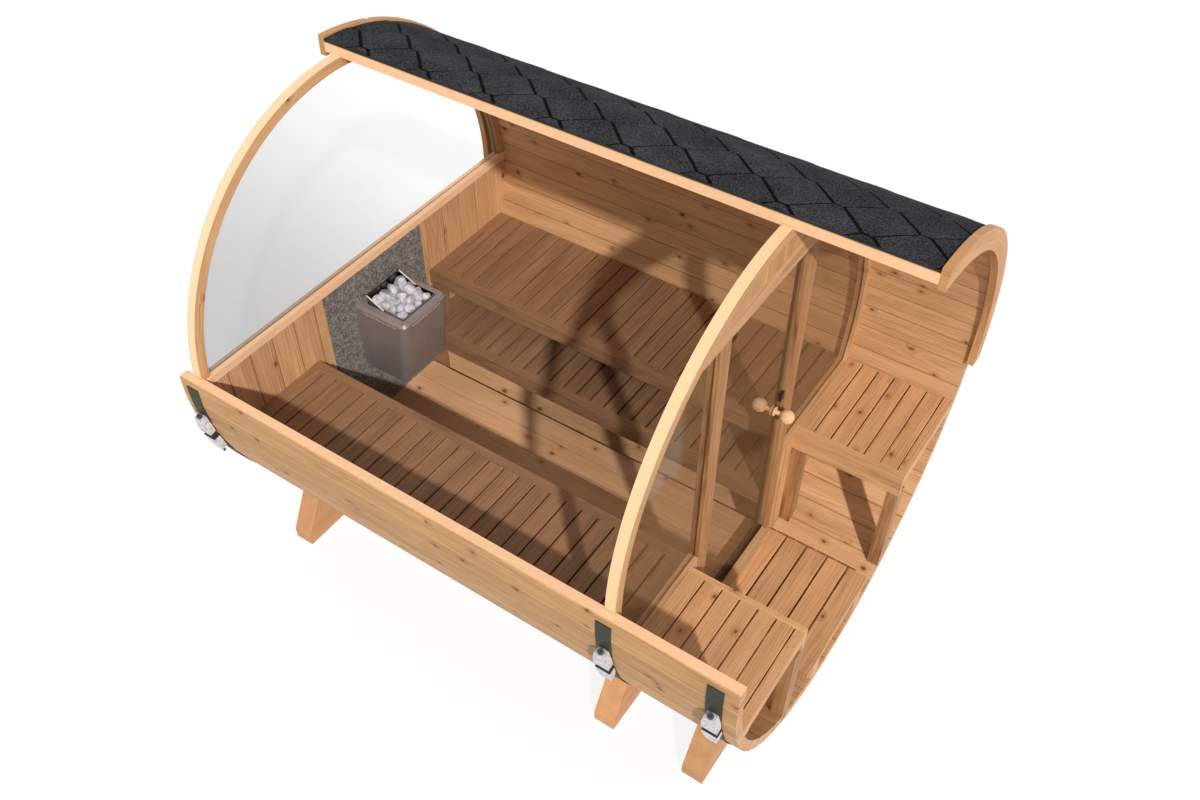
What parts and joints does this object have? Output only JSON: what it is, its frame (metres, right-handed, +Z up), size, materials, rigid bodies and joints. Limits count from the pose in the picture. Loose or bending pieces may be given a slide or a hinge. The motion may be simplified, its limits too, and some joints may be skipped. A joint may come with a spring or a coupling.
{
  "type": "cutaway barrel sauna",
  "caption": "Round timber barrel sauna on cradles with one quarter of the shell open, showing benches, a wall heater, a half-moon window and a glass door to a porch.",
  "frame": {"origin": "on the ground, under the middle of the whole outline", "axes": "+X along the barrel towards the porch, +Y towards the closed far side, +Z up"},
  "size_m": [2.524, 2.0453, 2.1234],
  "materials": {
    "spruce": "sawn, satin",
    "stave_spruce": "planed, satin",
    "bench_wood": "planed, satin",
    "knob_wood": "turned, satin",
    "clear_glass": "clear",
    "bronze_glass": "bronze tint",
    "shingle": "granular bitumen felt",
    "strap_steel": "satin",
    "bright_steel": "galvanised",
    "heat_panel": "mottled, matt",
    "heater_paint": "satin",
    "stone": "rough",
    "black_metal": "satin",
    "black_plastic": "matt"
  },
  "bodies": {
    "barrel": {"back_boards": "spruce", "back_rim": "spruce", "back_sill": "spruce", "back_window": "clear_glass", "cradle_back": "spruce", "cradle_front": "spruce", "cradle_middle": "spruce", "door_threshold": "black_metal", "floor_boards": "spruce", "floor_joists": "spruce", "front_header": "spruce", "front_lintel": "spruce", "front_low_boards": "spruce", "front_posts": "spruce", "front_rails": "spruce", "front_rim": "spruce", "front_side_panes": "bronze_glass", "heat_panel": "heat_panel", "heater_case": "heater_paint", "heater_guard": "bright_steel", "heater_stones": "stone", "near_bench_slats": "bench_wood", "porch_bench_legs": "spruce", "porch_bench_rails": "spruce", "porch_bench_slats": "spruce", "porch_slats": "spruce", "roof_covering": "shingle", "roof_fascias": "spruce", "room_bench_legs": "bench_wood", "room_bench_rails": "bench_wood", "staves_bottom_far": "stave_spruce", "staves_bottom_near": "stave_spruce", "staves_crown": "stave_spruce", "staves_far_side": "stave_spruce", "staves_near_side": "stave_spruce", "staves_shoulder": "stave_spruce", "step_slats": "bench_wood", "strap_bolts": "black_metal", "strap_clamps": "bright_steel", "straps": "strap_steel", "upper_bench_slats": "bench_wood"},
    "door": {"door_leaf": "bronze_glass", "door_pivots": "bright_steel", "door_knobs": "knob_wood", "door_catch": "black_plastic"}
  },
  "joints": [
    {"name": "door_swing", "type": "hinge", "parent": "barrel", "child": "door", "pos_m": [0.737, -0.28834, 1.104], "axis": [0, 0, -1], "range_deg": [0, 95]}
  ]
}
